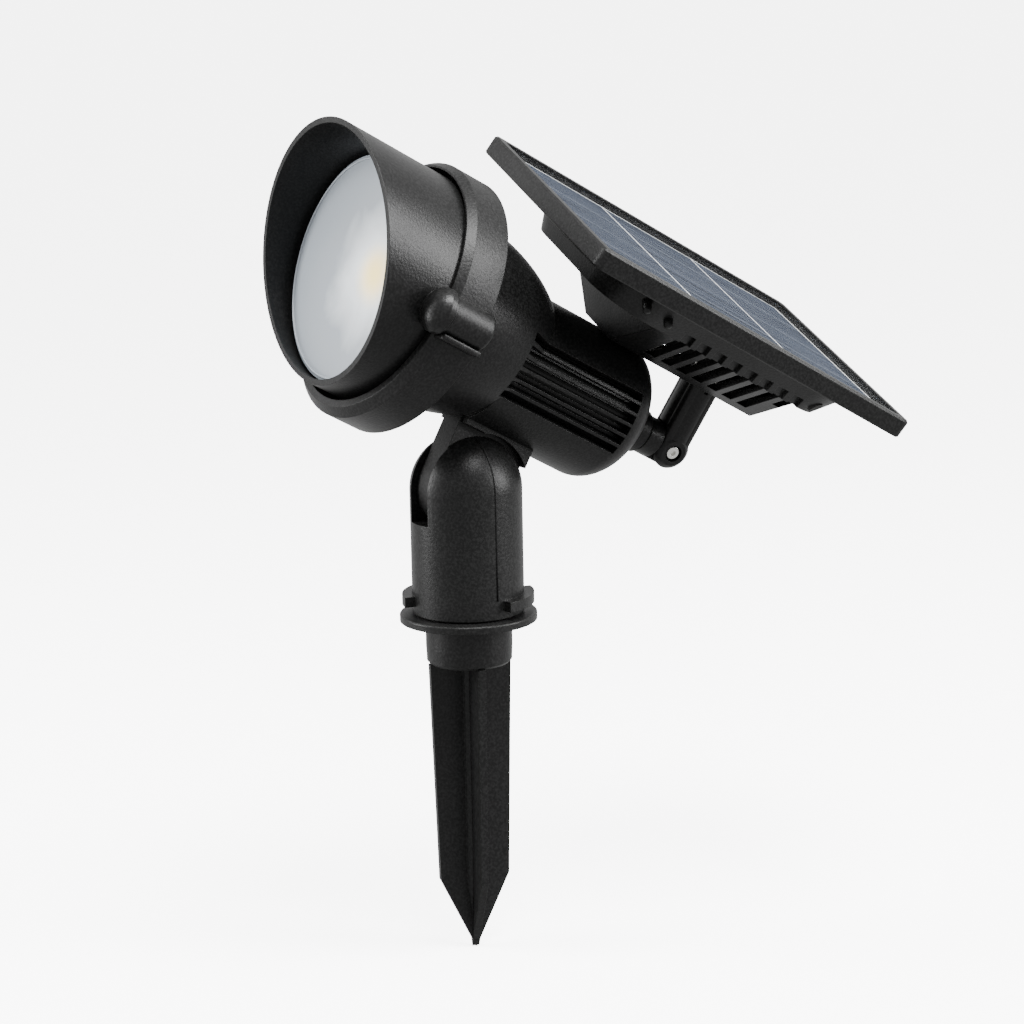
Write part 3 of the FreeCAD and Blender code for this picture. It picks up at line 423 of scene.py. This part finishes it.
stageLook = {
    "floorSize": 60.0,       # m
    "drop": 0.0002,          # m below the spike's tip
    "floor": "#f4f4f4",
    "glow": 5.0,             # the paper's own light, so that it shows almost white
    "world": 1.0,
}


def whiteFloor():
    # one big sheet of pale paper
    low = cadBox[0].z - stageLook["drop"]
    mesh = bmesh.new()
    bmesh.ops.create_grid(mesh, x_segments=2, y_segments=2, size=stageLook["floorSize"] / 2)
    bmesh.ops.translate(mesh, vec=Vector((0, 0, low)), verts=mesh.verts)
    data = bpy.data.meshes.new("paperFloor")
    mesh.to_mesh(data)
    mesh.free()
    floor = bpy.data.objects.new("paperFloor", data)
    bpy.context.scene.collection.objects.link(floor)
    paper, _, shader = startMaterial("palePaper", stageLook["floor"], 0.9)
    shader.inputs["Specular IOR Level"].default_value = 0.1
    shader.inputs["Emission Color"].default_value = (1, 1, 1, 1)
    shader.inputs["Emission Strength"].default_value = stageLook["glow"]
    data.materials.append(paper)
    floor.visible_diffuse = False        # its glow stays off the object, which the lamps and the world light
    floor.visible_glossy = False


def softLights():
    world = bpy.data.worlds.new("studio")
    bpy.context.scene.world = world
    world.use_nodes = True
    world.node_tree.nodes["Background"].inputs["Color"].default_value = (1, 1, 1, 1)
    world.node_tree.nodes["Background"].inputs["Strength"].default_value = stageLook["world"]
    centre = (cadBox[0] + cadBox[1]) / 2
    boxes = [                                   # direction from the object, distance, width, height, watts
        ((-0.55, -1.0, 0.45), 1.2, 0.4, 1.3, 34.0),
        ((0.75, 0.8, 0.55), 1.3, 0.45, 1.2, 46.0),
        ((0.55, -0.1, 1.5), 1.4, 0.55, 0.55, 50.0),
    ]
    for i, (way, distance, width, height, watts) in enumerate(boxes):
        lamp = bpy.data.lights.new("softbox%d" % i, "AREA")
        lamp.shape = "RECTANGLE"
        lamp.size, lamp.size_y, lamp.energy = width, height, watts
        holder = bpy.data.objects.new(lamp.name, lamp)
        holder.location = centre + Vector(way).normalized() * distance
        holder.rotation_euler = (-Vector(way)).to_track_quat("-Z", "Y").to_euler()
        bpy.context.scene.collection.objects.link(holder)


cameraLook = {
    "azimuth": 58.0,                       # degrees, 0 looks along +Y
    "elevation": 12.0,
    "roll": -1.06,
    "target": (2.426, 22.299, 45.916),     # mm
    "distance": 1205.0,                    # mm
    "lens": 94.92,                         # mm on a 36 mm sensor
}


def setCamera():
    azimuth, elevation = math.radians(cameraLook["azimuth"]), math.radians(cameraLook["elevation"])
    back = Vector((math.sin(azimuth) * math.cos(elevation), -math.cos(azimuth) * math.cos(elevation),
                   math.sin(elevation)))
    right = Vector((math.cos(azimuth), math.sin(azimuth), 0))
    roll = Matrix.Rotation(math.radians(cameraLook["roll"]), 4, back)
    data = bpy.data.cameras.new("camera")
    data.lens, data.sensor_width = cameraLook["lens"], 36.0
    data.clip_start, data.clip_end = 0.05, 100.0
    camera = bpy.data.objects.new("camera", data)
    bpy.context.scene.collection.objects.link(camera)
    camera.matrix_world = axesAt(Vector(cameraLook["target"]) * mm + back * cameraLook["distance"] * mm,
                                 roll @ right, back)
    bpy.context.scene.camera = camera


whiteFloor()
softLights()
setCamera()
print("stage set")
